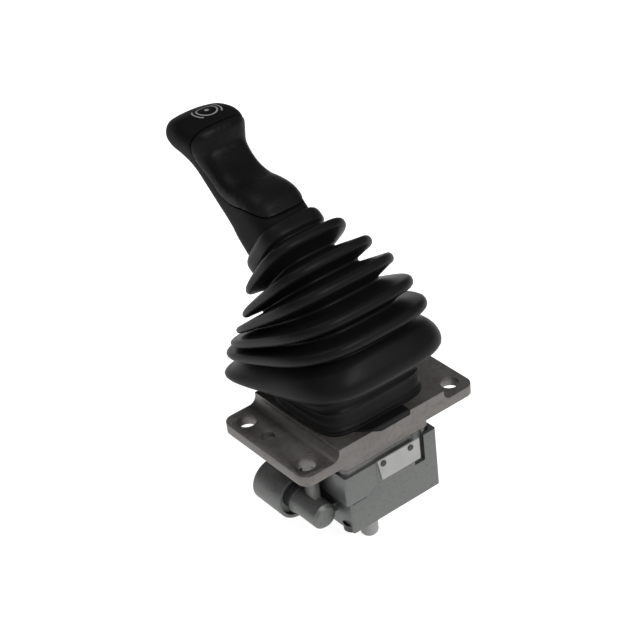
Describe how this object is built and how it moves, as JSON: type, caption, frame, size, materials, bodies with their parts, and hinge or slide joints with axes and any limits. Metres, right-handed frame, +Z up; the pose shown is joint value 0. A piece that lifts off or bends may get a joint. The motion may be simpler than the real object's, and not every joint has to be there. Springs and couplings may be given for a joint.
{
  "type": "hand control valve",
  "caption": "Flange-mounted hand control valve: a cranked grip in rubber bellows swings over a cast flange and works a graduating piston valve hung below the panel.",
  "frame": {"origin": "middle of the four flange holes, on the underside of the flange, where the panel is met", "axes": "+X along the flange's long side, +Y toward the back, where the lever leans at rest, +Z up through the panel"},
  "size_m": [0.1, 0.1448, 0.1719],
  "materials": {
    "flange_casting": "die-cast, bead blasted, warm grey",
    "valve_casting": "die-cast, cool greenish grey",
    "gasket": "matt",
    "bellows_rubber": "moulded, satin matt",
    "seal_rubber": "smooth",
    "grip_plastic": "fine grained",
    "grip_insert_leather": "leather grained",
    "white_plastic": "satin",
    "plate": "satin, bare",
    "zinc_steel": "zinc plated",
    "bright_steel": "ground",
    "spring_steel": "oiled",
    "lever_iron": "cast, machined at the boss",
    "turned_aluminium": "turned",
    "bronze": "sintered"
  },
  "bodies": {
    "housing": {"mounting_flange": "flange_casting", "flange_gasket": "gasket", "upper_housing": "valve_casting", "seal_plate": "gasket", "lower_housing": "valve_casting", "housing_screws": "zinc_steel", "name_plate": "plate", "plate_rivets": "bright_steel", "exhaust_nozzle": "white_plastic", "bellows": "bellows_rubber", "pivot_pin": "bright_steel", "pin_circlips": "spring_steel", "return_spring": "spring_steel", "tappet_guide": "bronze", "valve_retainer": "turned_aluminium", "retainer_circlip": "spring_steel", "side_cap": "turned_aluminium", "side_circlip": "spring_steel", "side_spring": "spring_steel", "valve_spring": "spring_steel", "graduating_spring": "spring_steel"},
    "lever": {"hub_bushes": "bronze", "cam_lever": "lever_iron", "lever_stem": "bright_steel", "stem_screw": "spring_steel", "stem_circlip": "spring_steel", "grip_spring": "spring_steel"},
    "grip": {"grip_shell": "grip_plastic", "grip_insert": "grip_insert_leather", "grip_core": "zinc_steel", "release_rod": "bright_steel"},
    "tappet": {"tappet": "bright_steel"},
    "piston": {"graduating_piston": "turned_aluminium", "piston_seal": "seal_rubber"},
    "inlet": {"inlet_valve": "seal_rubber"},
    "check_piston": {"side_piston": "turned_aluminium", "side_seal": "seal_rubber"}
  },
  "joints": [
    {"name": "lever_swing", "type": "hinge", "parent": "housing", "child": "lever", "pos_m": [0, 0, 0.024], "axis": [1, 0, 0], "range_deg": [0, 73], "stiffness_Nm_per_rad": 0.3, "springref_deg": -57.3, "deforming": ["bellows", "return_spring"]},
    {"name": "grip_lift", "type": "slide", "parent": "lever", "child": "grip", "axis": [0, 0.809, 0.5878], "range_m": [0, 0.005], "stiffness_N_per_m": 2000, "springref_m": -0.005, "deforming": ["grip_spring"]},
    {"name": "tappet_slide", "type": "slide", "parent": "housing", "child": "tappet", "axis": [0, 0, 1], "range_m": [0, 0.0062], "deforming": ["graduating_spring"]},
    {"name": "piston_slide", "type": "slide", "parent": "housing", "child": "piston", "axis": [0, 0, 1], "range_m": [0, 0.0016]},
    {"name": "inlet_slide", "type": "slide", "parent": "housing", "child": "inlet", "axis": [0, 0, 1], "range_m": [-0.0012, 0], "stiffness_N_per_m": 1500, "springref_m": 0.003, "deforming": ["valve_spring"]},
    {"name": "check_slide", "type": "slide", "parent": "housing", "child": "check_piston", "axis": [0, 1, 0], "range_m": [0, 0.0015], "stiffness_N_per_m": 1500, "springref_m": -0.003, "deforming": ["side_spring"]}
  ],
  "couplings": [
    {"joint": "tappet_slide", "follows": "lever_swing", "m_per_rad": 0.0047},
    {"joint": "piston_slide", "follows": "lever_swing", "m_per_rad": 0.0011}
  ]
}
